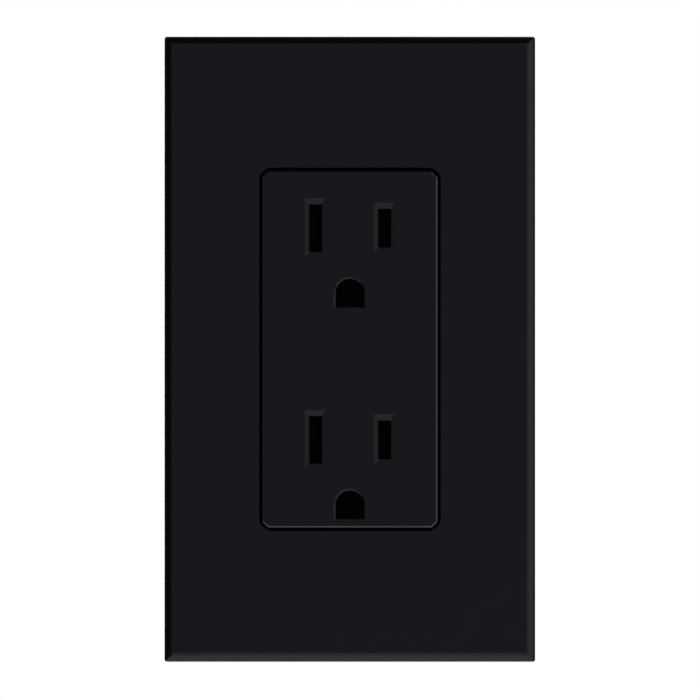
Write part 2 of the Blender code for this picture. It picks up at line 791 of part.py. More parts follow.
def make_terminals():
    for side, hand, material in ((1, "line", "brass"), (-1, "neutral", "nickel")):
        make_bus(f"{hand}_bus", side, material)
        face_x = PAD_X[1] + GAP
        head_x = face_x + CLAMP_THICKNESS + GAP
        for level, z in BLADE_Z.items():
            make_clamp(f"{hand}_clamp_{level}", side, face_x, (TERMINAL_Y, z), material)
            at = (side * head_x, TERMINAL_Y, z)
            out = "+X" if side > 0 else "-X"
            screw(f"{hand}_screw_{level}", TERMINAL_SCREW, 0.0059, at, out, material)


def make_ground():
    for level in BLADE_Z:
        z = ground_z(level)
        foot_y = (GAP, GAP + 0.0008)
        foot = block(
            f"ground_contact_{level}",
            about(0, GROUND_FOOT_HALF_WIDTH),
            foot_y,
            about(z, GROUND_FOOT_HALF_HEIGHT),
            "brass",
        )
        mouth_x, mouth_z = GROUND_MOUTH
        cut(foot, block(f"ground_mouth_{level}", about(0, mouth_x), (-PAST, 0.002), about(z, mouth_z)))
        for side, hand in ((-1, "left"), (1, "right")):
            path = [(side * 0.0032, middle(foot_y)), (side * 0.00235, 0.0052), (side * 0.0030, 0.0112)]
            leaf = bent_strip(f"ground_leaf_{level}_{hand}", path, about(z, 0.0023), LEAF_THICKNESS)
            join(foot, leaf)
            rivet_at = (side * GROUND_RIVET_X, 0, z)
            hole = rod(f"foot_hole_{level}_{hand}", "+Y", rivet_at, 0.0013, (-PAST, 0.002), sides=12)
            cut(foot, hole)
            rivet = [(0, 0.0006), (0.0012, 0.0006), (0.0018, 0.0002), (0.0018, 0), (0.0010, 0)]
            rivet += [(0.0010, -0.0022), (0, -0.0022)]
            made = turned(f"ground_rivet_{level}_{hand}", rivet, "brass", sides=12)
            head_at = (rivet_at[0], foot_y[1] + GAP, z)
            made.matrix_world = Matrix.Translation(head_at) @ AXIS_TURNS["+Y"]
    face_x = -GROUND_TAB_X + STRAP_THICKNESS / 2 + GAP
    make_clamp("ground_clamp", -1, face_x, (GROUND_TAB_Y, GROUND_TAB_Z), "zinc_steel")
    head_x = face_x + CLAMP_THICKNESS + GAP
    at = (-head_x, GROUND_TAB_Y, GROUND_TAB_Z)
    screw("ground_screw", TERMINAL_SCREW, 0.0059, at, "-X", "green_steel")


# ---------------------------------------------------------------- rear body
def make_rear_body():
    body = block(
        "rear_body",
        about(0, BODY_HALF_WIDTH),
        (GAP, BODY_BACK),
        about(0, BODY_HALF_HEIGHT),
        "body_black",
        corner=BODY_CORNER,
        steps=2,
        chamfer=BODY_CHAMFER,
        rim=1,
    )
    link_z = (BLADE_Z["lower"], BLADE_Z["upper"])
    groove_y = (LINK_Y[0] - 0.0006, LINK_Y[1] + 0.0006)
    for side, hand in ((-1, "neutral"), (1, "line")):
        open_side = sided(side, RECESS_X, BODY_HALF_WIDTH + PAST)
        cut(body, block(f"link_groove_{hand}", open_side, groove_y, link_z))
        for level, z in BLADE_Z.items():
            name = f"{hand}_{level}"
            recess = block(f"recess_{name}", open_side, RECESS_Y, about(z, RECESS_HALF_HEIGHT))
            pocket_z = about(z, BLADE_POCKET_HALF_HEIGHT)
            pocket = block(f"pocket_{name}", sided(side, *BLADE_POCKET_X), (-PAST, POCKET_BACK), pocket_z)
            cut(body, recess, pocket)
            for row in (-1, 1):
                wire = countersunk_bore(
                    f"wire_{name}_{row}",
                    (side * WIRE_HOLE_X, BODY_BACK, z + row * WIRE_HOLE_OFFSET),
                    "+Y",
                    WIRE_FUNNEL_RADIUS,
                    WIRE_FUNNEL_DEPTH,
                    WIRE_HOLE_RADIUS,
                    BODY_BACK - RECESS_Y[1] + PAST,
                    12,
                )
                cut(body, wire)
    for level in BLADE_Z:
        z = ground_z(level)
        pin_room = about(0, 0.0040)
        cut(body, block(f"ground_pocket_{level}", pin_room, (-PAST, POCKET_BACK), about(z, 0.0038)))
        foot_room = about(0, GROUND_FOOT_HALF_WIDTH + GAP)
        foot_height = about(z, GROUND_FOOT_HALF_HEIGHT + GAP)
        cut(body, block(f"foot_room_{level}", foot_room, (-PAST, 0.0024), foot_height))
    cut(body, block("body_middle", about(0, 0.0090), (-PAST, 0.0220), (-0.0090, 0.0050)))
    for label, x, z in housing_screw_places():
        shank, head, height = HOUSING_SCREW
        head_floor = BODY_BACK - height - 0.0006
        bore = rod(f"body_hole_{label}", "+Y", (x, 0, z), shank + GAP, (-PAST, 0.03), sides=12)
        seat = rod(f"body_seat_{label}", "+Y", (x, 0, z), head + GAP, (head_floor, 0.03), sides=12)
        cut(body, bore, seat)
        at = (x, head_floor + GAP, z)
        length = head_floor + GAP + 0.0040
        screw(f"housing_screw_{label}", HOUSING_SCREW, length, at, "+Y", "zinc_steel", sides=12)


make_cover()
make_mounting_frame()
make_strap()
make_face()
make_shutters()
make_terminals()
make_ground()
make_rear_body()
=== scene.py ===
"""Looks of a duplex wall outlet: fine shapes, materials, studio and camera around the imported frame.

Metres, +Z up, the front facing -Y. The pieces that show are built here finer than their CAD nodes.
"""

import json
import math

import bmesh
import bpy
import numpy as np
from mathutils import Matrix, Vector


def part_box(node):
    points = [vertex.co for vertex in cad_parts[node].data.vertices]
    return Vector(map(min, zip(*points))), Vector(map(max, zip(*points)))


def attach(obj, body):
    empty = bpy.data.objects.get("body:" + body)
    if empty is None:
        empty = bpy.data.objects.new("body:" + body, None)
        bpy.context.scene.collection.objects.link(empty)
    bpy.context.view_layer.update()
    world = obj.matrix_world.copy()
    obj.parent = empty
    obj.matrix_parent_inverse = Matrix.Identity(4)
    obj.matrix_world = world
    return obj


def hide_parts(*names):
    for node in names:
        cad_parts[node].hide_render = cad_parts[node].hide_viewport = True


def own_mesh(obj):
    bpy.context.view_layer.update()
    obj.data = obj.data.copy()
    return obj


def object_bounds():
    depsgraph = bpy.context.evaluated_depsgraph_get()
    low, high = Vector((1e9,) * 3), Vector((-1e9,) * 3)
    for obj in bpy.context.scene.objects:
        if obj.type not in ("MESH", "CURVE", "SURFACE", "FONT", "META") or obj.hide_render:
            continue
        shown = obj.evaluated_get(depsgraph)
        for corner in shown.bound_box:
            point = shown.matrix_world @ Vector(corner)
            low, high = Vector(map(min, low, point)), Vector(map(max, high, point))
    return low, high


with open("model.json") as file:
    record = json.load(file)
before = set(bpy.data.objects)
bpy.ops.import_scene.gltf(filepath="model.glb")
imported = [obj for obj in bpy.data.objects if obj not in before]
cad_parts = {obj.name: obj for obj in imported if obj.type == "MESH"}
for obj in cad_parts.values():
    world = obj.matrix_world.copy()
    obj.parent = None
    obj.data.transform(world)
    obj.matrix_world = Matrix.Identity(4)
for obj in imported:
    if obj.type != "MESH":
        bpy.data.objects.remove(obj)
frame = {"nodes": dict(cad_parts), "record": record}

CAD_BOX = [list(map(float, corner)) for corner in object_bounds()]
AROUND = 2 * math.pi
MM = 0.001

# view of the photograph: straight at the front from far away
FRAME_SIDE = 0.12825  # what the square picture spans at the depth of the object's foremost point
HALF_ANGLE = math.radians(1.6)
VIEW_CENTRE = (0.00003, -0.00014)  # x and z that the camera looks at
SENSOR = 36.0

# studio
FLOOR_Z = -0.200
FLOOR_RADIUS = 0.72
FLOOR_SIDES = 96
FLOOR_AHEAD = 0.18  # how far in front of the object the middle of the floor's opaque part lies
FLOOR_FADE = (0.40, 0.72)  # shares of the radius between which the floor fades out
# low, high, start, end: a strength that goes from low to high while its coordinate goes from start to end
# painted light and shade: the floor's own glow, dimmer towards -x, which also dims its reflection in the
# object's lower left
FLOOR_GLOW = (0.14, 0.35, -0.24, 0.0)  # emission, over x
FRONT_GLOW = (0.278, 0.0, -0.44, -0.24)  # of the world, over the direction's y
SIDE_GLOW = (0.06, 0.0005, -0.05, 0.30)  # over y as well
SIDE_DIMMING = (1.0, 0.15, 0.3, 0.8)  # the share of the side glow that is left, over z
GLOW_COLOUR = (0.92, 0.96, 1.14, 1)
SOFTBOXES = {  # place, size and power in W
    "right_softbox": ((1.0, -0.05, 0.05), (0.55, 0.75), 0.97),
    "right_front_softbox": ((0.96, -0.72, 0.0), (0.50, 0.50), 0.43),
    "rear_softbox": ((0.45, 0.75, 0.85), (0.6, 0.6), 8.0),
    "rear_left_softbox": ((-0.75, 0.85, 0.6), (0.5, 0.5), 5.0),
    "high_softbox": ((0.5, -0.9, 0.8), (0.5, 0.5), 2.5),
}


# ---------------------------------------------------------------- node graphs
class Graph:
    """A small helper that adds nodes and links to one node tree."""

    def __init__(self, tree):
        self.tree = tree
        self.nodes = tree.nodes

    def add(self, kind, inputs=None, **settings):
        node = self.nodes.new(kind)
        for name, value in settings.items():
            setattr(node, name, value)
        for key, value in (inputs or {}).items():
            if isinstance(value, bpy.types.NodeSocket):
                self.tree.links.new(value, node.inputs[key])
            else:
                node.inputs[key].default_value = value
        return node

    def noise(self, vector, scale, detail=2.0, roughness=0.5):
        inputs = {"Vector": vector, "Scale": scale, "Detail": detail, "Roughness": roughness}
        return self.add("ShaderNodeTexNoise", inputs).outputs["Fac"]

    def spread(self, value, low, high, start=0.3, end=0.7):
        """The value, remapped from start..end to low..high."""
        inputs = {"Value": value, "From Min": start, "From Max": end, "To Min": low, "To Max": high}
        return self.add("ShaderNodeMapRange", inputs).outputs["Result"]

    def mix(self, factor, first, second):
        inputs = {"Factor": factor, 6: first, 7: second}
        return self.add("ShaderNodeMix", inputs, data_type="RGBA").outputs[2]

    def maths(self, operation, first, second=0.0):
        return self.add("ShaderNodeMath", {0: first, 1: second}, operation=operation).outputs[0]

    def stretched(self, vector, scale):
        return self.add("ShaderNodeMapping", {"Vector": vector, "Scale": scale}).outputs["Vector"]


def new_material(name):
    material = bpy.data.materials.new(name)
    material.use_nodes = True
    graph = Graph(material.node_tree)
    shader = graph.nodes["Principled BSDF"]
    place = graph.add("ShaderNodeTexCoord").outputs["Object"]
    return material, graph, shader, place


def shade(colour, factor):
    return (*(channel * factor for channel in colour), 1.0)


def link(graph, socket, shader, name):
    graph.tree.links.new(socket, shader.inputs[name])


# ---------------------------------------------------------------- materials
# noise scales, per metre
PLASTIC_DRIFT, PLASTIC_CLOUD, PLASTIC_RUBBING = 45.0, 160.0, 18.0
METAL_LINES, METAL_PATCHES, METAL_CLOUDS = 2600.0, 260.0, 70.0
FIBRE_STRANDS, FIBRE_FLECKS = 1500.0, 3500.0
FLOOR_MOTTLE = 6.0

PLASTIC_GLOSS_DRIFT = 0.02  # how far a plastic's roughness drifts to either side
PLASTIC_GLOSS_RUBBED = -0.03  # what rubbing changes in it
# painted shade: the frame's lip, seen in the gap around the face, is painted near-black and kept dull
SHADED_LIP_HALF = (0.0168, 0.0335)  # x and z: inside these the frame is dull
SHADED_LIP_EDGE = 0.0004  # the width over which that dullness ends
# the near-black colour of that painted shade
PAINTED_LIP_SHADE = (0.0004, 0.0004, 0.0005, 1)


def moulded_plastic(name, colour, roughness, specular, grain, depth, tint=(1.0, 1.0, 1.0), shaded_lip=None):
    """Moulded plastic: a spark-eroded grain, drifts of tone and gloss, and a few faint rubbed patches.

    Inside a lip, half sizes in x and z, the surface is dull and painted near-black: painted shade in the
    gap around the face.
    """
    material, graph, shader, place = new_material(name)
    drift = graph.noise(place, PLASTIC_DRIFT, 3.0)
    cloud = graph.noise(place, PLASTIC_CLOUD, 2.0)
    fine = graph.noise(place, 1 / grain, 3.0, 0.6)
    coarse = graph.noise(place, 0.3 / grain, 2.0)
    tinted = tuple(c * t for c, t in zip(colour, tint))
    toned = graph.mix(graph.spread(drift, 0.0, 1.0), shade(colour, 0.94), shade(tinted, 1.06))
    speckled = graph.mix(graph.spread(fine, 0.0, 0.25), toned, shade(colour, 1.25))
    shader.inputs["Specular IOR Level"].default_value = specular
    if shaded_lip:
        along = graph.add("ShaderNodeSeparateXYZ", {"Vector": place}).outputs
        past_x = graph.maths("SUBTRACT", graph.maths("ABSOLUTE", along["X"]), shaded_lip[0])
        past_z = graph.maths("SUBTRACT", graph.maths("ABSOLUTE", along["Z"]), shaded_lip[1])
        outside = graph.spread(graph.maths("MAXIMUM", past_x, past_z), 0.0, 1.0, 0.0, SHADED_LIP_EDGE)
        # painted shade: near-black inside the lip, the frame's own colour outside it
        speckled = graph.mix(outside, PAINTED_LIP_SHADE, speckled)
        link(graph, graph.maths("MULTIPLY", outside, specular), shader, "Specular IOR Level")
    link(graph, speckled, shader, "Base Color")
    gloss = graph.spread(cloud, roughness - PLASTIC_GLOSS_DRIFT, roughness + PLASTIC_GLOSS_DRIFT)
    rubbing = graph.noise(place, PLASTIC_RUBBING, 4.0, 0.7)
    rubbed = graph.spread(rubbing, 0.0, PLASTIC_GLOSS_RUBBED, 0.55, 0.75)
    link(graph, graph.maths("ADD", gloss, rubbed), shader, "Roughness")
    height = graph.maths("ADD", fine, graph.maths("MULTIPLY", coarse, 0.6))
    bump = graph.add("ShaderNodeBump", {"Strength": 0.5, "Distance": depth, "Height": height})
    link(graph, bump.outputs["Normal"], shader, "Normal")
    return material


def worn_metal(name, colour, roughness, stain, stain_amount, direction=(1.0, 1.0, 1.0), metallic=1.0):
    """Plated or stamped metal: rolling lines, stains, and rough and bright patches."""
    material, graph, shader, place = new_material(name)
    lines = graph.noise(graph.stretched(place, direction), METAL_LINES, 3.0, 0.7)
    patches = graph.noise(place, METAL_PATCHES, 4.0, 0.65)
    clouds = graph.noise(place, METAL_CLOUDS, 3.0)
    toned = graph.mix(graph.spread(lines, 0.0, 1.0), shade(colour, 0.86), shade(colour, 1.08))
    stained = graph.mix(graph.spread(patches, 0.0, stain_amount, 0.45, 0.72), toned, shade(stain, 1.0))
    clouded = graph.mix(graph.spread(clouds, 0.0, 0.25), stained, shade(colour, 0.75))
    link(graph, clouded, shader, "Base Color")
    shader.inputs["Metallic"].default_value = metallic
    gloss = graph.spread(patches, roughness - 0.07, roughness + 0.10)
    streaks = graph.spread(lines, -0.04, 0.06)
    link(graph, graph.maths("ADD", gloss, streaks), shader, "Roughness")
    height = graph.maths("ADD", lines, graph.maths("MULTIPLY", patches, 0.8))
    bump = graph.add("ShaderNodeBump", {"Strength": 0.25, "Distance": 0.000005, "Height": height})
    link(graph, bump.outputs["Normal"], shader, "Normal")
    return material


def pressed_fibre(name):
    """Vulcanised fibre: flecks and short strands in a warm brown sheet."""
    material, graph, shader, place = new_material(name)
    strands = graph.noise(graph.stretched(place, (1.0, 1.0, 5.0)), FIBRE_STRANDS, 5.0, 0.75)
    flecks = graph.noise(place, FIBRE_FLECKS, 2.0)
    base = graph.mix(graph.spread(strands, 0.0, 1.0), (0.20, 0.13, 0.075, 1), (0.36, 0.26, 0.16, 1))
    flecked = graph.mix(graph.spread(flecks, 0.0, 0.5, 0.6, 0.75), base, (0.08, 0.05, 0.03, 1))
    link(graph, flecked, shader, "Base Color")
    shader.inputs["Roughness"].default_value = 0.82
    bump = graph.add("ShaderNodeBump", {"Strength": 0.5, "Distance": 0.00002, "Height": strands})
    link(graph, bump.outputs["Normal"], shader, "Normal")
    return material


def floor_material():
    """A pale matt floor that fades out towards its edge and glows, less towards -x: painted light and shade
    on the floor.
    """
    material, graph, shader, place = new_material("pale_floor")
    mottle = graph.noise(place, FLOOR_MOTTLE, 3.0)
    tone = graph.mix(graph.spread(mottle, 0.0, 1.0), (0.78, 0.78, 0.775, 1), (0.81, 0.81, 0.81, 1))
    link(graph, tone, shader, "Base Color")
    shader.inputs["Roughness"].default_value = 0.9
    shader.inputs["Specular IOR Level"].default_value = 0.1
    shader.inputs["Emission Color"].default_value = (1, 1, 1, 1)
    across = graph.add("ShaderNodeSeparateXYZ", {"Vector": place}).outputs["X"]
    # painted light: the floor glows, less towards -x
    link(graph, graph.spread(across, *FLOOR_GLOW), shader, "Emission Strength")
    shifted = graph.add("ShaderNodeVectorMath", {0: place, 1: (0, FLOOR_AHEAD, 0)}, operation="ADD")
    length = graph.add("ShaderNodeVectorMath", {0: shifted.outputs[0]}, operation="LENGTH")
    opaque, clear = (FLOOR_RADIUS * share for share in FLOOR_FADE)
    link(graph, graph.spread(length.outputs["Value"], 1.0, 0.0, opaque, clear), shader, "Alpha")
    return material


MATERIALS = {
    "cover_black": moulded_plastic(
        "cover_black", (0.0024, 0.0026, 0.0040), 0.24, 0.30, 0.00022, 0.000004, (0.92, 1.0, 1.06)
    ),
    "face_black": moulded_plastic(
        "face_black", (0.0026, 0.0025, 0.0042), 0.24, 0.30, 0.00020, 0.000003, (1.06, 1.0, 1.02)
    ),
    "face_edge": moulded_plastic("face_edge", (0.0030, 0.0030, 0.0042), 0.18, 0.84, 0.00020, 0.000002),
    # its lip inside the window carries painted shade
    "frame_black": moulded_plastic(
        "frame_black", (0.012, 0.012, 0.013), 0.55, 0.45, 0.00030, 0.000016, shaded_lip=SHADED_LIP_HALF
    ),
    "body_black": moulded_plastic("body_black", (0.013, 0.013, 0.014), 0.52, 0.5, 0.00034, 0.000022),
    "shutter_black": moulded_plastic("shutter_black", (0.0012, 0.0012, 0.0012), 0.8, 0.06, 0.0003, 0.00001),
    "zinc_steel": worn_metal("zinc_steel", (0.60, 0.61, 0.61), 0.36, (0.46, 0.43, 0.36), 0.4, (6, 6, 0.5)),
    "spring_steel": worn_metal("spring_steel", (0.50, 0.50, 0.49), 0.28, (0.33, 0.30, 0.26), 0.3),
    "brass": worn_metal("brass", (0.74, 0.50, 0.19), 0.28, (0.46, 0.27, 0.10), 0.35, (3, 3, 0.6)),
    "nickel": worn_metal("nickel", (0.64, 0.61, 0.54), 0.27, (0.46, 0.42, 0.34), 0.22, (3, 3, 0.6)),
    "green_steel": worn_metal(
        "green_steel", (0.035, 0.24, 0.085), 0.34, (0.30, 0.33, 0.26), 0.35, metallic=0.85
    ),
    "fibre": pressed_fibre("fibre"),
}
SLOT_OF = {row["node"]: row["material_slot"] for row in frame["record"]["subparts"]}
BODIES = frame["record"]["behaviour"]["bodies"]
BODY_OF = {node: body for body, nodes in BODIES.items() for node in nodes}


# ---------------------------------------------------------------- camera, lights, floor
def look_at(obj, target):
    obj.rotation_euler = (Vector(target) - obj.location).to_track_quat("-Z", "Y").to_euler()


def add_camera():
    data = bpy.data.cameras.new("photo_camera")
    data.sensor_width = SENSOR
    data.lens = SENSOR / 2 / math.tan(HALF_ANGLE)
    data.clip_start = 0.1
    data.clip_end = 20.0
    camera = bpy.data.objects.new("photo_camera", data)
    bpy.context.scene.collection.objects.link(camera)
    x, z = VIEW_CENTRE
    front = CAD_BOX[0][1]
    camera.location = (x, front - FRAME_SIDE / 2 / math.tan(HALF_ANGLE), z)
    look_at(camera, (x, 0, z))
    bpy.context.scene.camera = camera


def add_softbox(name, place, size, power):
    data = bpy.data.lights.new(name, "AREA")
    data.shape = "RECTANGLE"
    data.size, data.size_y = size
    data.energy = power
    light = bpy.data.objects.new(name, data)
    bpy.context.scene.collection.objects.link(light)
    light.location = place
    look_at(light, (0, 0, 0))


def add_world():
    """White behind the object; its reflections and fill come from a soft front and darker sides."""
    world = bpy.data.worlds.new("studio")
    bpy.context.scene.world = world
    world.use_nodes = True
    graph = Graph(world.node_tree)
    direction = graph.add("ShaderNodeTexCoord").outputs["Generated"]
    along = graph.add("ShaderNodeSeparateXYZ", {"Vector": direction}).outputs
    front = graph.spread(along["Y"], *FRONT_GLOW)
    side = graph.spread(along["Y"], *SIDE_GLOW)
    dimmed = graph.maths("MULTIPLY", side, graph.spread(along["Z"], *SIDE_DIMMING))
    glow = graph.maths("ADD", front, dimmed)
    surround = graph.add("ShaderNodeBackground", {"Color": GLOW_COLOUR, "Strength": glow})
    behind = graph.add("ShaderNodeBackground", {"Color": (1, 1, 1, 1), "Strength": 1.0})
    seen = graph.add("ShaderNodeLightPath").outputs["Is Camera Ray"]
    both = graph.add("ShaderNodeMixShader", {0: seen, 1: surround.outputs[0], 2: behind.outputs[0]})
    graph.tree.links.new(both.outputs[0], graph.nodes["World Output"].inputs["Surface"])


def add_floor():
    bm = bmesh.new()
    bmesh.ops.create_circle(bm, cap_ends=True, radius=FLOOR_RADIUS, segments=FLOOR_SIDES)
    mesh = bpy.data.meshes.new("floor")
    bm.to_mesh(mesh)
    bm.free()
    mesh.materials.append(floor_material())
    floor = bpy.data.objects.new("floor", mesh)
    bpy.context.scene.collection.objects.link(floor)
    floor.location = (0, 0, FLOOR_Z)


def add_studio():
    add_world()
    add_floor()
    for name, (place, size, power) in SOFTBOXES.items():
        add_softbox(name, place, size, power)
    view = bpy.context.scene.view_settings
    view.view_transform = "Standard"
    view.look = "None"


# ---------------------------------------------------------------- mesh tools
FLAT_ANGLE = math.radians(1.0)  # faces that meet at less than this are merged
SOFT_ANGLE = 30.0  # edges sharper than this, in degrees, are rounded
SAME_POINT = 1e-6
LONGEST_EASE = 0.45  # the share of a side that the rounding of one corner may take


def smooth_mesh(bm, name, angle):
    """A mesh that is shaded smooth, but sharp at edges above an angle in degrees."""
    mesh = bpy.data.meshes.new(name)
    bm.to_mesh(mesh)
    bm.free()
    mesh.shade_smooth()
    mesh.set_sharp_from_angle(angle=math.radians(angle))
    return mesh


def piece_for(node, mesh, name, place=Matrix.Identity(4)):
    """An object that stands for a CAD node: same body, same material slot."""
    piece = bpy.data.objects.new(name, mesh)
    bpy.context.scene.collection.objects.link(piece)
    piece.matrix_world = place
    mesh.materials.append(MATERIALS[SLOT_OF[node]])
    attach(piece, BODY_OF[node])
    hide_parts(node)
    return piece


def finish_piece(name, bm, node, smooth_angle):
    bmesh.ops.recalc_face_normals(bm, faces=bm.faces)
    return piece_for(node, smooth_mesh(bm, name, smooth_angle), name)


def weight_normals(piece):
    piece.modifiers.new("weighted normals", "WEIGHTED_NORMAL").keep_sharp = True


def round_edges(obj, width, angle):
    """Rounds the edges that are sharper than an angle in degrees."""
    rounding = obj.modifiers.new("rounded edges", "BEVEL")
    rounding.width = width
    rounding.segments = 2
    rounding.limit_method = "ANGLE"
    rounding.angle_limit = math.radians(angle)


def merge_flat_faces(bm):
    bmesh.ops.remove_doubles(bm, verts=bm.verts, dist=SAME_POINT)
    bmesh.ops.dissolve_limit(bm, angle_limit=FLAT_ANGLE, verts=bm.verts, edges=bm.edges)


def rounded_rectangle(x, z, radius, steps=6):
    """An outline of (x, z) points with round corners, starting at the lower right."""
    points = []
    corners = ((x[1], z[0], -90), (x[1], z[1], 0), (x[0], z[1], 90), (x[0], z[0], 180))
    for corner_x, corner_z, start in corners:
        centre_x = corner_x - math.copysign(radius, corner_x - (x[0] + x[1]) / 2)
        centre_z = corner_z - math.copysign(radius, corner_z - (z[0] + z[1]) / 2)
        for step in range(steps + 1):
            angle = math.radians(start + 90 * step / steps)
            points.append((centre_x + radius * math.cos(angle), centre_z + radius * math.sin(angle)))
    return points


def circle_outline(x, z, radius, steps=20):
    angles = [AROUND * i / steps for i in range(steps)]
    return [(x + radius * math.cos(a), z + radius * math.sin(a)) for a in angles]


def about(centre, half):
    return (centre - half, centre + half)


def ring(bm, outline, y):
    """The (x, z) points of an outline as vertices at a depth."""
    return [bm.verts.new((x, y, z)) for x, z in outline]


def bridge(bm, first, second):
    """Joins two rings of as many vertices by quads."""
    count = len(first)
    for i in range(count):
        j = (i + 1) % count
        bm.faces.new((first[i], first[j], second[j], second[i]))


def loft(bm, rings, closed=False):
    for first, second in zip(rings, rings[1:]):
        bridge(bm, first, second)
    if closed:
        bridge(bm, rings[-1], rings[0])


def fill_flat(bm, *rings):
    """Fills the flat region between an outer ring and the rings of its holes."""
    edges = []
    for loop in rings:
        for i, vert in enumerate(loop):
            following = loop[(i + 1) % len(loop)]
            edge = bm.edges.get((vert, following)) or bm.edges.new((vert, following))
            edges.append(edge)
    bmesh.ops.triangle_fill(bm, use_beauty=True, use_dissolve=False, edges=edges)


def eased(points, radii, steps=3):
    """An open path of (inset, y) points whose inner corners are rounded."""
    path = [Vector(points[0])]
    for before, here, after, radius in zip(points, points[1:], points[2:], radii):
        corner = Vector(here)
        back = Vector(before) - corner
        ahead = Vector(after) - corner
        reach = min(radius, back.length * LONGEST_EASE, ahead.length * LONGEST_EASE)
        start = corner + back.normalized() * reach
        end = corner + ahead.normalized() * reach
        for step in range(steps + 1):
            t = step / steps
            path.append(start * (1 - t) ** 2 + corner * 2 * t * (1 - t) + end * t ** 2)
    path.append(Vector(points[-1]))
    return path


def box_into(bm, x, y, z):
    """Adds a block to a mesh."""
    made = bmesh.ops.create_cube(bm, size=1.0)["verts"]
    size = Matrix.Diagonal((x[1] - x[0], y[1] - y[0], z[1] - z[0], 1.0))
    centre = Matrix.Translation(((x[0] + x[1]) / 2, (y[0] + y[1]) / 2, (z[0] + z[1]) / 2))
    bmesh.ops.transform(bm, matrix=centre @ size, verts=made)


def add_cuts(obj, cutters):
    for cutter in cutters:
        cutting = obj.modifiers.new("cut", "BOOLEAN")
        cutting.operation = "DIFFERENCE"
        cutting.object = cutter


def evaluated_mesh(obj, cutters):
    """What an object's modifiers make of it. The object and its cutters are removed."""
    bpy.context.view_layer.update()
    evaluated = obj.evaluated_get(bpy.context.evaluated_depsgraph_get())
    mesh = bpy.data.meshes.new_from_object(evaluated)
    for used in (obj, *cutters):
        bpy.data.objects.remove(used)
    return mesh


def temporary(name, bm):
    """An object that only lives until its mesh has been evaluated."""
    mesh = bpy.data.meshes.new(name)
    bm.to_mesh(mesh)
    bm.free()
    obj = bpy.data.objects.new(name, mesh)
    bpy.context.scene.collection.objects.link(obj)
    return obj


def carved(node, cutters, front):
    """A copy of a CAD node's mesh with its front plane moved to a depth and some solids cut away."""
    bm = bmesh.new()
    bm.from_mesh(frame["nodes"][node].data)
    cad_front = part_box(node)[0].y
    for vert in bm.verts:
        if vert.co.y < cad_front + 0.01 * MM:
            vert.co.y = front
    merge_flat_faces(bm)
    body = temporary(node + "_uncut", bm)
    add_cuts(body, cutters)
    return evaluated_mesh(body, cutters)


def softened(node, width, mesh=None):
    """A copy of a CAD node, or of a mesh for it, with its flat faces merged and its edges rounded."""
    bm = bmesh.new()
    bm.from_mesh(mesh or frame["nodes"][node].data)
    merge_flat_faces(bm)
    piece = finish_piece(node + "_fine", bm, node, SOFT_ANGLE)
    round_edges(piece, width, SOFT_ANGLE)
    weight_normals(piece)


# ---------------------------------------------------------------- cover plate
PLATE_BEVEL = 1.16 * MM
PLATE_DRAFT = 0.34 * MM
PLATE_CORNER = 0.45 * MM
EDGE_ROUNDING = (0.1 * MM, 0.14 * MM, 0.45 * MM)  # at the wall, outside and inside the bevel
PLATE_WALL = 2.0 * MM
WINDOW_HALF = (16.6 * MM, 33.29 * MM)
WINDOW_CORNER = 2.3 * MM
CATCH_LENGTH = 6.0 * MM
CATCH_REACH = 1.0 * MM
CATCH_Y = (-3.8 * MM, -0.5 * MM)
CATCH_AT = {"x": (-28.0 * MM, 28.0 * MM), "z": (-16.0 * MM, 16.0 * MM)}
CATCH_ROOT = 0.5 * MM  # how far a catch reaches into the wall
CATCH_SLOPE = 0.75  # the share of its reach that it loses towards the back
CATCH_ROUNDING = 0.08 * MM
RIM_CHAMFER = 0.12 * MM
INNER_CORNER = 0.8 * MM
LEAST_CORNER = 0.04 * MM
MARK_RADIUS = 1.9 * MM
MARK_DEPTH = 0.09 * MM
MARK_SUNK = 0.02 * MM  # how far a mark's rim lies below the face that it is on
MARK_PROFILE = ((1.0, 0.0), (0.98, 0.5), (0.94, 1.0), (0.90, 0.6), (0.5, 0.45))  # shares: radius, depth
CORNER_MARKS = (24.5 * MM, 42.0 * MM)
SIDE_MARKS = 25.0 * MM


def plate_outline(half, inset, radius):
    x, z = (value - inset for value in half)
    return rounded_rectangle(about(0, x), about(0, z), max(radius, LEAST_CORNER), 8)


def add_catch(bm, axis, side, along, inner):
    """A snap catch inside the wall: a wedge that slopes away towards the open back."""
    outer = side * (inner + CATCH_ROOT)
    tip = side * (inner - CATCH_REACH)
    run = about(along, CATCH_LENGTH / 2)
    out = (min(outer, tip), max(outer, tip))
    spans = (out, CATCH_Y, run) if axis == "x" else (run, CATCH_Y, out)
    first = len(bm.verts)
    box_into(bm, *spans)
    bm.verts.ensure_lookup_table()
    made = bm.verts[first:]
    place = 0 if axis == "x" else 2
    for vert in made:
        if vert.co.y > CATCH_Y[0] + 0.1 * MM and abs(vert.co[place] - tip) < 0.1 * MM:
            vert.co[place] += side * CATCH_REACH * CATCH_SLOPE
    edges = list({edge for vert in made for edge in vert.link_edges})
    bmesh.ops.bevel(bm, geom=edges, offset=CATCH_ROUNDING, segments=2, profile=0.5, affect="EDGES")


def add_mark(bm, x, z, y):
    """A round ejector mark: a low dished disc on a face that looks along +Y."""
    rings = []
    for share, rise in MARK_PROFILE:
        outline = circle_outline(x, z, MARK_RADIUS * share, 32)
        rings.append(ring(bm, outline, y - MARK_SUNK + MARK_DEPTH * rise))
    loft(bm, rings)
    fill_flat(bm, rings[0])
    fill_flat(bm, rings[-1])


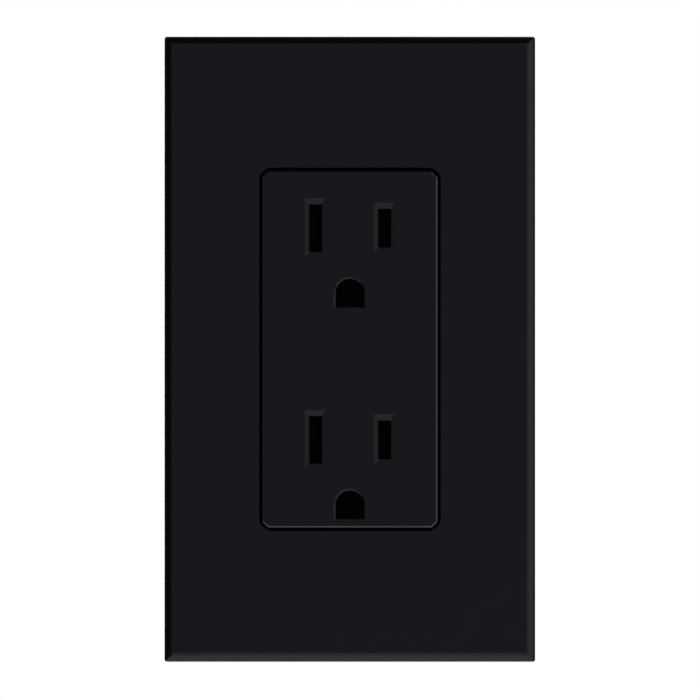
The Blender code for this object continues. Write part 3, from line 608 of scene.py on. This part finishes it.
def make_cover():
    low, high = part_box("cover_plate")
    half = (high.x, high.z)
    front, back = low.y, high.y
    bm = bmesh.new()
    side = [
        (RIM_CHAMFER, back),
        (0.0, back - RIM_CHAMFER),
        (PLATE_DRAFT, front + PLATE_BEVEL),
        (PLATE_DRAFT + PLATE_BEVEL, front),
        (PLATE_DRAFT + PLATE_BEVEL + 1.0 * MM, front),
    ]
    rings = []
    for inset, y in eased(side, EDGE_ROUNDING, 5):
        rings.append(ring(bm, plate_outline(half, inset, PLATE_CORNER - inset), y))
    mouth = [(-1.0 * MM, front), (0.0, front), (0.0, front + PLATE_WALL)]
    for inset, y in eased(mouth, (EDGE_ROUNDING[1],)):
        rings.append(ring(bm, plate_outline(WINDOW_HALF, inset, WINDOW_CORNER - inset), y))
    inner = (half[0] - PLATE_WALL, half[1] - PLATE_WALL)
    for y in (front + PLATE_WALL, back):
        rings.append(ring(bm, plate_outline(inner, 0.0, INNER_CORNER), y))
    loft(bm, rings, closed=True)
    for side in (-1, 1):
        for along in CATCH_AT["x"]:
            add_catch(bm, "x", side, along, inner[0])
        for along in CATCH_AT["z"]:
            add_catch(bm, "z", side, along, inner[1])
        for x in (-CORNER_MARKS[0], CORNER_MARKS[0]):
            add_mark(bm, x, side * CORNER_MARKS[1], front + PLATE_WALL)
        add_mark(bm, side * SIDE_MARKS, 0.0, front + PLATE_WALL)
    weight_normals(finish_piece("cover_plate_fine", bm, "cover_plate", 40.0))


# ---------------------------------------------------------------- receptacle face
FACE_CUT = 1.1 * MM  # the corners of the face are cut at 45 degrees
FACE_CUT_ROUNDING = 0.5 * MM
FACE_CHAMFER = 0.34 * MM
FACE_FLARE = 0.285 * MM  # the draft of its walls, which closes the view through the gap around it
FACE_WALL = 2.2 * MM
FACE_EDGE_ROUNDING = 0.08 * MM
BACK_CHAMFER = 0.1 * MM
SLOT_HALF_WIDTH = 1.15 * MM
SLOTS = ((-6.27 * MM, 4.35 * MM), (6.38 * MM, 3.55 * MM))  # x and half height: neutral, then line
SLOT_LEAD_IN = (0.84 * MM, 0.68 * MM, 0.62 * MM, 1.10 * MM)  # left, right, bottom, top
LEAD_IN_DEPTH = 0.37 * MM
GROUND_HALF_WIDTH = 2.60 * MM
GROUND_BOTTOM = 2.67 * MM
GROUND_LEAD_IN = (0.38 * MM, 0.12 * MM)  # left and upper, right
SLOT_CORNER = 0.12 * MM
GROUND_CORNER = 0.06 * MM
POCKET_CORNER = 0.25 * MM
POCKET_ROOM = 0.3 * MM  # around a shutter's tray
SCREW_HOLE_RADIUS = 1.5 * MM
OUTLET_Z = {
    level: mount["pos_m"][2]
    for mount in frame["record"]["mounts"]
    for level in ("upper", "lower")
    if mount["name"] == f"outlet_front_{level}"
}


def middle(node):
    low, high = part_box(node)
    return (low + high) / 2


def filleted(corners, radius, steps=3):
    """A closed outline of (x, z) points with its corners rounded."""
    points = []
    for i, corner in enumerate(corners):
        here = Vector(corner)
        back = (Vector(corners[i - 1]) - here).normalized()
        ahead = (Vector(corners[(i + 1) % len(corners)]) - here).normalized()
        half = back.angle(ahead) / 2
        centre = here + (back + ahead).normalized() * (radius / math.sin(half))
        reach = radius / math.tan(half)
        start = here + back * reach - centre
        end = here + ahead * reach - centre
        first = math.atan2(start.y, start.x)
        turn = (math.atan2(end.y, end.x) - first + math.pi) % AROUND - math.pi
        for step in range(steps + 1):
            angle = first + turn * step / steps
            points.append((centre.x + radius * math.cos(angle), centre.y + radius * math.sin(angle)))
    return points


def face_outline(half, inset):
    x, z = (value - inset for value in half)
    cut = FACE_CUT - inset * (2 - math.sqrt(2))
    right = [(x - cut, -z), (x, cut - z), (x, z - cut), (x - cut, z)]
    left = [(-x, -z) for x, z in right]
    return filleted(right + left, FACE_CUT_ROUNDING)


def slot_outline(x, z, half_height, share):
    """A blade slot's outline, widened by a share of its lead-in."""
    left, right, bottom, top = (share * reach for reach in SLOT_LEAD_IN)
    x_span = (x - SLOT_HALF_WIDTH - left, x + SLOT_HALF_WIDTH + right)
    z_span = (z - half_height - bottom, z + half_height + top)
    return rounded_rectangle(x_span, z_span, SLOT_CORNER, 3)


def ground_outline(z, share):
    """The ground hole, widened by a share of its lead-in: an arch over a flat bottom."""
    wide, narrow = (GROUND_HALF_WIDTH + share * reach for reach in GROUND_LEAD_IN)
    corner = GROUND_CORNER
    points = []
    for side, reach, start in ((-1, wide, 180), (1, narrow, 270)):
        for step in range(4):
            angle = math.radians(start + 30 * step)
            x = side * (reach - corner) + corner * math.cos(angle)
            points.append((x, z - GROUND_BOTTOM + corner + corner * math.sin(angle)))
    for step in range(33):
        angle = math.pi * step / 32
        reach = narrow + (wide - narrow) * (0.5 - 0.5 * math.cos(angle))
        points.append((reach * math.cos(angle), z + (wide + reach) / 2 * math.sin(angle)))
    return points


def make_face():
    low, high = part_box("receptacle_face")
    half = (high.x, high.z)
    front, back = low.y, high.y
    ceiling = front + FACE_WALL
    bm = bmesh.new()
    side = [
        (BACK_CHAMFER - FACE_FLARE, back),
        (-FACE_FLARE, back - BACK_CHAMFER),
        (0.0, front + FACE_CHAMFER),
        (FACE_CHAMFER, front),
        (FACE_CHAMFER + 0.4 * MM, front),
    ]
    rounding = (FACE_EDGE_ROUNDING,) * 3
    edge = [ring(bm, face_outline(half, inset), y) for inset, y in eased(side, rounding, 2)]
    loft(bm, edge)
    for face in bm.faces:  # the chamfer gets the second material
        face.normal_update()
        in_front = face.calc_center_median().y < front + FACE_CHAMFER
        face.material_index = int(in_front and abs(face.normal.y) < 0.9)
    front_holes, back_holes = [], []
    for level, z in OUTLET_Z.items():
        tray_low, tray_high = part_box(f"shutter_tray_{level}")
        x_span = (tray_low.x - POCKET_ROOM, tray_high.x + POCKET_ROOM)
        z_span = (tray_low.z - POCKET_ROOM, tray_high.z + POCKET_ROOM)
        outline = rounded_rectangle(x_span, z_span, POCKET_CORNER, 3)
        pocket = [ring(bm, outline, y) for y in (ceiling, back)]
        loft(bm, pocket)
        back_holes.append(pocket[-1])
        slot_floors = []
        steps = (
            (1.07, front),
            (1.0, front + 0.04 * MM),
            (0.05, front + LEAD_IN_DEPTH - 0.03 * MM),
            (0.0, front + LEAD_IN_DEPTH + 0.04 * MM),
            (0.0, ceiling),
        )
        for x, half_height in SLOTS:
            slot = [ring(bm, slot_outline(x, z, half_height, share), y) for share, y in steps]
            loft(bm, slot)
            front_holes.append(slot[0])
            slot_floors.append(slot[-1])
        fill_flat(bm, pocket[0], *slot_floors)
        ground_z = middle(f"ground_contact_{level}").z
        lead_in = (
            (1.08, front),
            (1.0, front + 0.03 * MM),
            (0.0, front + LEAD_IN_DEPTH / 2),
            (0.0, back),
        )
        hole = [ring(bm, ground_outline(ground_z, share), y) for share, y in lead_in]
        loft(bm, hole)
        front_holes.append(hole[0])
        back_holes.append(hole[-1])
        for hand in ("left", "right"):
            at = middle(f"housing_screw_{level}_{hand}")
            outline = circle_outline(at.x, at.z, SCREW_HOLE_RADIUS)
            bore = [ring(bm, outline, y) for y in (ceiling, back)]
            loft(bm, bore)
            fill_flat(bm, bore[0])
            back_holes.append(bore[-1])
    fill_flat(bm, edge[-1], *front_holes)
    fill_flat(bm, edge[0], *back_holes)
    piece = finish_piece("receptacle_face_fine", bm, "receptacle_face", 35.0)
    piece.data.materials.append(MATERIALS["face_edge"])
    weight_normals(piece)


# ---------------------------------------------------------------- screws, rivets and springs
TURNS = {
    "+X": Matrix.Rotation(math.radians(90), 4, "Y"),
    "-X": Matrix.Rotation(math.radians(-90), 4, "Y"),
    "+Y": Matrix.Rotation(math.radians(-90), 4, "X"),
    "-Y": Matrix.Rotation(math.radians(90), 4, "X"),
}
HEAD_SIDES = 48
TURNED_ANGLE = 32.0  # edges of turned pieces above this, in degrees, are sharp


def close_to_axis(bm, loop, height):
    """Closes a loop with triangles that meet on the Z axis."""
    tip = bm.verts.new((0, 0, height))
    for i, vert in enumerate(loop):
        bm.faces.new((tip, vert, loop[(i + 1) % len(loop)]))


def turned(profile, sides=HEAD_SIDES):
    """A mesh turned about Z from (radius, height) points; the first and last points lie on the axis."""
    bm = bmesh.new()
    loops = []
    for radius, height in profile[1:-1]:
        outline = circle_outline(0.0, 0.0, radius, sides)
        loops.append([bm.verts.new((x, y, height)) for x, y in outline])
    loft(bm, loops)
    close_to_axis(bm, loops[0], profile[0][1])
    close_to_axis(bm, loops[-1], profile[-1][1])
    bmesh.ops.recalc_face_normals(bm, faces=bm.faces)
    return bm


THREAD_TAPER = 0.28  # the share of its radius that a shank loses at its tip
THREAD_POINT = 0.12  # how far the tip's middle stands out, as a share of the radius


def threaded_shank(radius, top, length, pitch, depth, sides=28, rows_per_turn=8):
    """A shank with a helical ridge, tapering in at its tip and plain just under the head."""
    bm = bmesh.new()
    rows = max(4, int(length / pitch * rows_per_turn))
    loops = []
    for row in range(rows + 1):
        height = top - length * row / rows
        entry = min(1.0, row / rows_per_turn)
        tip = min(1.0, (rows - row) / rows_per_turn)
        loop = []
        for i in range(sides):
            phase = (height / pitch + i / sides) % 1.0
            ridge = abs(phase * 2 - 1)
            bite = depth * (0.5 - 0.5 * math.cos(math.pi * min(1.0, ridge * 1.25)))
            r = (radius - bite * entry) * (1.0 - THREAD_TAPER * (1.0 - tip))
            angle = AROUND * i / sides
            loop.append(bm.verts.new((r * math.cos(angle), r * math.sin(angle), height)))
        loops.append(loop)
    loft(bm, loops)
    close_to_axis(bm, loops[0], top)
    close_to_axis(bm, loops[-1], top - length - radius * THREAD_POINT)
    bmesh.ops.recalc_face_normals(bm, faces=bm.faces)
    return bm


def driven_head(profile, recesses, bevel):
    """A screw head with recesses: each is (half length, half width, floor, taper, turn in degrees)."""
    head = temporary("head", turned(profile))
    top = profile[0][1]
    cutters = []
    for half_length, half_width, floor, taper, turn in recesses:
        bm = bmesh.new()
        box_into(bm, (-half_length, half_length), (-half_width, half_width), (floor, top + MM))
        for vert in bm.verts:
            if vert.co.z < top:
                vert.co.x *= taper
                vert.co.y *= 0.85
        bmesh.ops.rotate(bm, matrix=Matrix.Rotation(math.radians(turn), 3, "Z"), verts=bm.verts)
        cutters.append(temporary("recess", bm))
    add_cuts(head, cutters)
    round_edges(head, bevel, TURNED_ANGLE)
    return evaluated_mesh(head, cutters)


def screw_mesh(kind):
    """A whole screw along Z, its head's underside (a flat head's top) at 0 and its tip down."""
    shank, head, height, length, pitch, flat = kind
    if flat:
        profile = [(0, 0), (head * 0.6, 0), (head * 0.94, -0.04 * MM), (head, -0.2 * MM)]
        profile += [(shank * 1.05, -height), (shank * 0.9, -height), (0, -height)]
        recesses = [(head * 1.2, head * 0.13, -0.9 * MM, 1.0, 0)]
        top, run = -height * 0.9, length - height * 0.9
    else:
        angles = np.linspace(0.25, 1.57, 8)
        dome = [(head * math.sin(a), height * (0.62 + 0.38 * math.cos(a))) for a in angles]
        rim = [(head, height * 0.12), (head * 0.93, 0)]
        profile = [(0, height), *dome, *rim, (shank * 0.9, 0), (0, 0)]
        slot = (head * 1.2, head * 0.125, height * 0.45, 1.0, 0)
        arm = (head * 0.55, head * 0.14, height * 0.25, 0.45)
        recesses = [slot, (*arm, 90), (*arm, 0)]
        top, run = 0.02 * MM, length
    mesh = driven_head(profile, recesses, 0.06 * MM)
    bm = bmesh.new()
    bm.from_mesh(mesh)
    threads = threaded_shank(shank, top, run, pitch, shank * 0.13)
    shank_mesh = bpy.data.meshes.new("shank")
    threads.to_mesh(shank_mesh)
    threads.free()
    bm.from_mesh(shank_mesh)
    return bm


# shank radius, head radius, head height, length under the head, thread pitch, whether the head is flat
SCREW_KINDS = {
    "terminal": (2.05 * MM, 3.9 * MM, 2.0 * MM, 5.9 * MM, 0.794 * MM, False),
    "box": (1.7 * MM, 3.0 * MM, 2.1 * MM, 24.0 * MM, 0.794 * MM, False),
    "frame": (1.7 * MM, 2.95 * MM, 1.5 * MM, 10.0 * MM, 0.794 * MM, True),
    "housing": (1.2 * MM, 2.3 * MM, 1.5 * MM, 25.5 * MM, 0.9 * MM, False),
}


def place_turned(mesh, node, direction, at):
    """Places a copy of a mesh whose Z axis points outwards, with its origin at a point."""
    name = node + "_fine"
    piece_mesh = mesh.copy()
    piece_mesh.name = name
    piece_for(node, piece_mesh, name, Matrix.Translation(at) @ TURNS[direction])


def outer_point(node, direction, inset):
    """The point on a node's axis, an inset below its outermost plane in a direction."""
    low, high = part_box(node)
    at = (low + high) / 2
    axis = "xyz".index(direction[1].lower())
    at[axis] = high[axis] - inset if direction[0] == "+" else low[axis] + inset
    return at


def make_screws():
    meshes = {}
    for name, kind in SCREW_KINDS.items():
        meshes[name] = smooth_mesh(screw_mesh(kind), name + "_screw_mesh", TURNED_ANGLE)
    jobs = [("ground_screw", "terminal", "-X")]
    for level in OUTLET_Z:
        jobs.append((f"line_screw_{level}", "terminal", "+X"))
        jobs.append((f"neutral_screw_{level}", "terminal", "-X"))
        jobs.append((f"box_screw_{level}", "box", "-Y"))
        jobs.append((f"frame_screw_{level}", "frame", "-Y"))
        for hand in ("left", "right"):
            jobs.append((f"housing_screw_{level}_{hand}", "housing", "+Y"))
    for node, kind, direction in jobs:
        _, _, head_height, _, _, flat = SCREW_KINDS[kind]
        at = outer_point(node, direction, 0.0 if flat else head_height)
        place_turned(meshes[kind], node, direction, at)


RIVET_HEAD = 1.8 * MM
RIVET_HEIGHT = 0.6 * MM
RIVET_SHANK = 1.0 * MM
RIVET_LENGTH = 2.2 * MM
RIVET_CHAMFER = 0.1 * MM
RIVET_RIM = 0.05 * MM


def make_rivets():
    angles = np.linspace(0.2, 1.5, 8)
    dome = [(RIVET_HEAD * math.sin(a), RIVET_HEIGHT * math.cos(a)) for a in angles]
    rim = [(RIVET_HEAD, RIVET_RIM), (RIVET_HEAD - RIVET_RIM, 0)]
    shank = [(RIVET_SHANK, 0), (RIVET_SHANK, -RIVET_LENGTH + RIVET_CHAMFER)]
    end = [(RIVET_SHANK - RIVET_CHAMFER, -RIVET_LENGTH), (0, -RIVET_LENGTH)]
    profile = [(0, RIVET_HEIGHT), *dome, *rim, *shank, *end]
    mesh = smooth_mesh(turned(profile, 32), "rivet_mesh", TURNED_ANGLE)
    for level in OUTLET_Z:
        for hand in ("left", "right"):
            node = f"ground_rivet_{level}_{hand}"
            place_turned(mesh, node, "+Y", outer_point(node, "+Y", RIVET_HEIGHT))


SPRING_WIRE = 0.25 * MM
SPRING_SIDES = 10
SPRING_STEPS = 22  # along one turn
SPRING_COILS = 5


def make_spring(level):
    """A compression spring whose end coils lie closed, squeezed by its shutter."""
    node = f"shutter_spring_{level}"
    low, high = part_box(node)
    radius = (high.z - low.z) / 2 - SPRING_WIRE / 2
    start, end = low.x + SPRING_WIRE / 2, high.x - SPRING_WIRE / 2
    centre = (low + high) / 2
    closed = SPRING_WIRE * 1.05  # the pitch of the end coils
    turns = (0, 1, SPRING_COILS + 1, SPRING_COILS + 2)
    reached = (start, start + closed, end - closed, end)
    bm = bmesh.new()
    loops = []
    for i in range(turns[-1] * SPRING_STEPS + 1):
        turn = i / SPRING_STEPS
        x = float(np.interp(turn, turns, reached))
        angle = AROUND * turn
        outwards = Vector((0, math.cos(angle), math.sin(angle)))
        hub = Vector((x, centre.y, centre.z)) + outwards * radius
        loop = []
        for side in range(SPRING_SIDES):
            around = AROUND * side / SPRING_SIDES
            offset = outwards * math.cos(around) + Vector((1, 0, 0)) * math.sin(around)
            loop.append(bm.verts.new(hub + offset * SPRING_WIRE / 2))
        loops.append(loop)
    loft(bm, loops)
    bm.faces.new(loops[0])
    bm.faces.new(reversed(loops[-1]))
    piece = finish_piece(node + "_fine", bm, node, 60.0)
    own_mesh(piece)


# ---------------------------------------------------------------- pieces softened from their CAD nodes
EDGE_WIDTHS = {  # how much is rounded off
    "mounting_frame": 0.15 * MM,
    "mounting_strap": 0.12 * MM,
    "shutter_tray": 0.08 * MM,
    "shutter": 0.10 * MM,
    "screw_retainer": 0.10 * MM,
    "bus": 0.09 * MM,
    "clamp": 0.12 * MM,
    "ground_contact": 0.08 * MM,
    "rear_body": 0.20 * MM,
}


def prism(name, outline, y):
    """A solid that fills an (x, z) outline between two depths."""
    bm = bmesh.new()
    rings = [ring(bm, outline, depth) for depth in y]
    loft(bm, rings)
    bm.faces.new(rings[0])
    bm.faces.new(rings[-1])
    bmesh.ops.recalc_face_normals(bm, faces=bm.faces)
    return temporary(name, bm)


BODY_FRONT = 0.04 * MM  # close behind the strap, so no light shows between them
BODY_CORNER = 1.4 * MM
GAUGE = ((-1.3 * MM, 1.3 * MM), (5.0 * MM, 21.0 * MM), 1.2 * MM)  # x, z, corners
LABEL = ((-8.0 * MM, 8.0 * MM), (-22.0 * MM, -3.0 * MM), 1.0 * MM)
EJECTOR_Z = (-28.5 * MM, 28.5 * MM)
EJECTOR_RADIUS = 1.8 * MM
RELEASE_X = 10.2 * MM
RELEASE_HALF = (0.7 * MM, 1.8 * MM)
RELEASE_CORNER = 0.25 * MM
DEPTHS = {
    "strip_gauge": 0.9 * MM,
    "label_field": 0.25 * MM,
    "ejector_mark": 0.15 * MM,
    "release_slot": 1.6 * MM,
}
PARTING_DEPTH = 0.16 * MM
PARTING_Y = (1.9 * MM, 2.1 * MM)


def body_cutters():
    """The rear body's moulded details: strip gauge, blank label field, marks, slots, parting line."""
    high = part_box("rear_body")[1]
    outlines = [
        ("strip_gauge", rounded_rectangle(*GAUGE)),
        ("label_field", rounded_rectangle(*LABEL)),
    ]
    for z in EJECTOR_Z:
        outlines.append(("ejector_mark", circle_outline(0.0, z, EJECTOR_RADIUS, 32)))
    for side in (-1, 1):
        for z in OUTLET_Z.values():
            x_span, z_span = about(side * RELEASE_X, RELEASE_HALF[0]), about(z, RELEASE_HALF[1])
            outlines.append(("release_slot", rounded_rectangle(x_span, z_span, RELEASE_CORNER, 3)))
    cutters = [prism(name, outline, (high.y - DEPTHS[name], high.y + MM)) for name, outline in outlines]
    bm = bmesh.new()
    line = []
    front, back = PARTING_Y
    past = -1.0 * MM  # outside the body
    for inset, y in ((past, front), (PARTING_DEPTH, front), (PARTING_DEPTH, back), (past, back)):
        x_span, z_span = about(0, high.x - inset), about(0, high.z - inset)
        line.append(ring(bm, rounded_rectangle(x_span, z_span, BODY_CORNER - inset), y))
    loft(bm, line, closed=True)
    bmesh.ops.recalc_face_normals(bm, faces=bm.faces)
    cutters.append(temporary("parting_line", bm))
    return cutters


def make_softened():
    """Every piece whose fine shape is its CAD shape with softened edges."""
    for level in OUTLET_Z:
        for kind in ("shutter_tray", "shutter", "screw_retainer", "ground_contact"):
            softened(f"{kind}_{level}", EDGE_WIDTHS[kind])
        for hand in ("line", "neutral"):
            softened(f"{hand}_clamp_{level}", EDGE_WIDTHS["clamp"])
    for hand in ("line", "neutral"):
        softened(f"{hand}_bus", EDGE_WIDTHS["bus"])
    softened("ground_clamp", EDGE_WIDTHS["clamp"])
    for node in ("mounting_frame", "mounting_strap"):
        softened(node, EDGE_WIDTHS[node])
    body = carved("rear_body", body_cutters(), BODY_FRONT)
    softened("rear_body", EDGE_WIDTHS["rear_body"], body)


add_camera()
add_studio()
make_cover()
make_face()
make_screws()
make_rivets()
for level_name in OUTLET_Z:
    make_spring(level_name)
make_softened()
